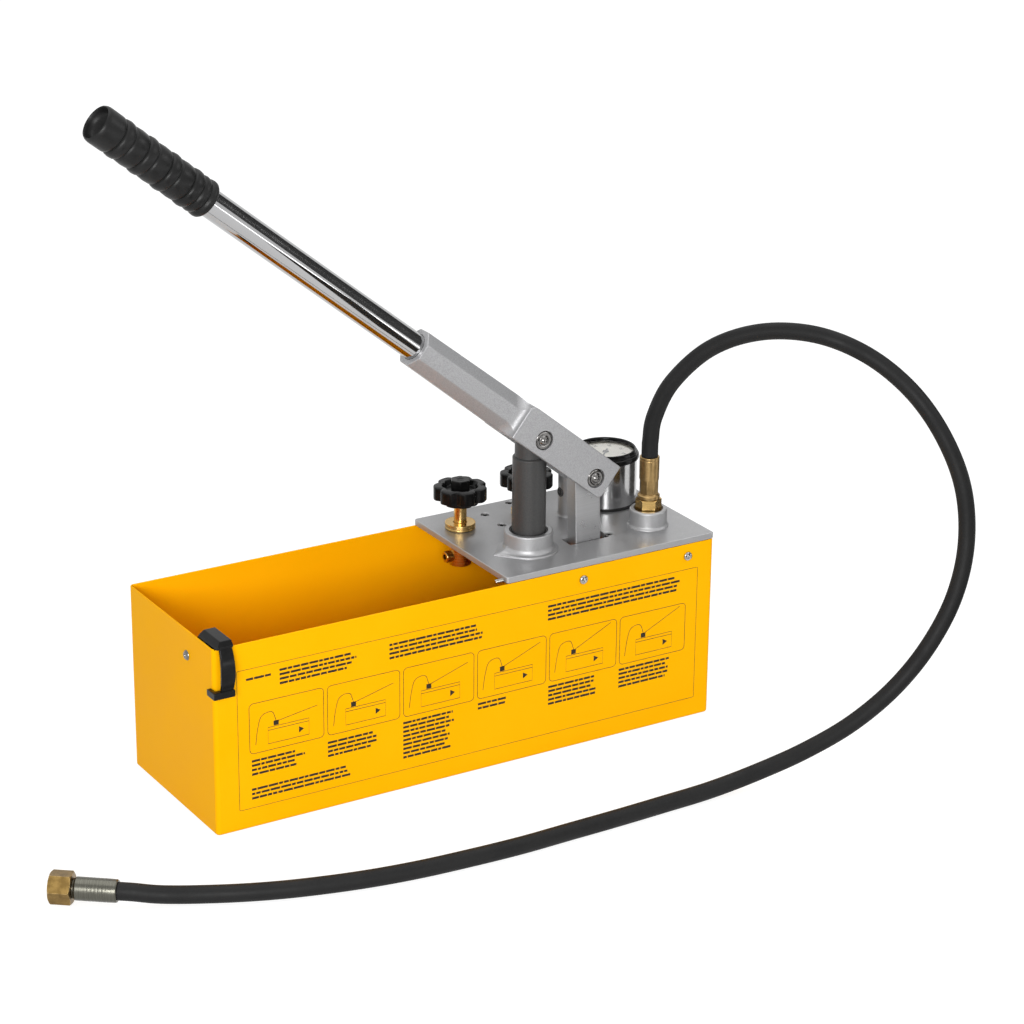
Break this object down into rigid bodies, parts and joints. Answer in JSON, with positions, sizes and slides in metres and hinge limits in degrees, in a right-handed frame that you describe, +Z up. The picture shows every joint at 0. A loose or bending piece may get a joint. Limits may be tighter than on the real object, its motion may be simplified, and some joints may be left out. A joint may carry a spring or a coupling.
{
  "type": "hydrostatic test pump",
  "caption": "Hand-lever pump on an open rectangular water tank, with shut-off valves, a face-up pressure gauge, a delivery hose and a lever latch, for pressure-testing pipework.",
  "frame": {"origin": "centre of the tank's flat underside", "axes": "+Z up, +X along the tank to the pump's end, +Y to the back, away from the side with the latch and the screws seen in the picture"},
  "size_m": [0.846, 0.3713, 0.6415],
  "materials": {
    "yellow_paint": "satin to gloss yellow coating",
    "cast_silver": "satin silver-grey coating over a casting, with a fine grain",
    "dark_steel": "dark grey, satin",
    "bright_steel": "bright zinc or polished",
    "chrome": "polished",
    "brass": "machined",
    "black_plastic": "satin",
    "black_rubber": "matte",
    "dial_cream": "matte cream",
    "clear_glass": "clear"
  },
  "bodies": {
    "base": {"tank": "yellow_paint", "pump_plate": "cast_silver", "plate_screw_1": "dark_steel", "plate_screw_2": "dark_steel", "plate_screw_3": "dark_steel", "plate_screw_4": "dark_steel", "column_plug": "dark_steel", "side_screw_1": "bright_steel", "side_screw_2": "bright_steel", "side_screw_3": "bright_steel", "side_screw_4": "bright_steel", "link_base_pin": "bright_steel", "pump_cylinder": "bright_steel", "manifold_block": "bright_steel", "delivery_cap": "bright_steel", "delivery_ball": "bright_steel", "foot_valve_ball": "bright_steel", "suction_strainer": "bright_steel", "latch_rivet": "bright_steel", "end_ferrule": "bright_steel", "gauge_case": "chrome", "valve_body_1": "brass", "valve_body_2": "brass", "gland_disc_1": "brass", "gland_disc_2": "brass", "gauge_stem": "brass", "outlet_nut": "brass", "hose_ferrule": "brass", "foot_valve_body": "brass", "end_nut": "brass", "gauge_bezel": "black_plastic", "hose": "black_rubber", "rod_seal": "black_rubber", "gauge_foot_ring": "black_rubber", "gauge_dial": "dial_cream", "gauge_lens": "clear_glass"},
    "plunger": {"piston": "dark_steel", "piston_guide_ring": "black_plastic"},
    "lever": {"lever_arm": "cast_silver", "lever_tube": "chrome", "grip": "black_rubber", "piston_pin": "bright_steel", "piston_pin_clip": "dark_steel", "fulcrum_pin": "bright_steel", "fulcrum_pin_clip": "dark_steel"},
    "link": {"fulcrum_link": "cast_silver", "front_spacer": "bright_steel", "rear_spacer": "bright_steel"},
    "valve_1": {"valve_spindle_1": "brass", "valve_knob_1": "black_plastic"},
    "valve_2": {"valve_spindle_2": "brass", "valve_knob_2": "black_plastic"},
    "needle": {"gauge_needle": "black_plastic"},
    "latch": {"lever_latch": "black_plastic"}
  },
  "joints": [
    {"name": "piston_slide", "type": "slide", "parent": "base", "child": "plunger", "axis": [0, 0, 1], "range_m": [-0.0562, 0.0072]},
    {"name": "lever_hinge", "type": "hinge", "parent": "plunger", "child": "lever", "pos_m": [0.087, -0.033, 0.2947], "axis": [0, 1, 0], "range_deg": [-47, 6]},
    {"name": "link_hinge", "type": "hinge", "parent": "lever", "child": "link", "pos_m": [0.14273, -0.033, 0.24832], "axis": [0, 1, 0], "range_deg": [-7.7, 59.8]},
    {"name": "valve_1_turn", "type": "hinge", "parent": "base", "child": "valve_1", "pos_m": [0.0595, 0.043, 0.21], "axis": [0, 0, 1], "range_deg": [-360, 360]},
    {"name": "valve_2_turn", "type": "hinge", "parent": "base", "child": "valve_2", "pos_m": [0.1312, 0.043, 0.21], "axis": [0, 0, 1], "range_deg": [-360, 360]},
    {"name": "needle_sweep", "type": "hinge", "parent": "base", "child": "needle", "pos_m": [0.214, 0.0355, 0.2308], "axis": [0, 0, -1], "range_deg": [0, 270], "stiffness_Nm_per_rad": 0.00002},
    {"name": "latch_swing", "type": "hinge", "parent": "base", "child": "latch", "pos_m": [-0.2575, -0.0328, 0.1522], "axis": [-1, 0, 0], "range_deg": [0, 92]}
  ],
  "couplings": [
    {"joint": "piston_slide", "follows": "lever_hinge", "m_per_rad": 0.0685},
    {"joint": "link_hinge", "follows": "lever_hinge", "ratio": -1.27}
  ]
}
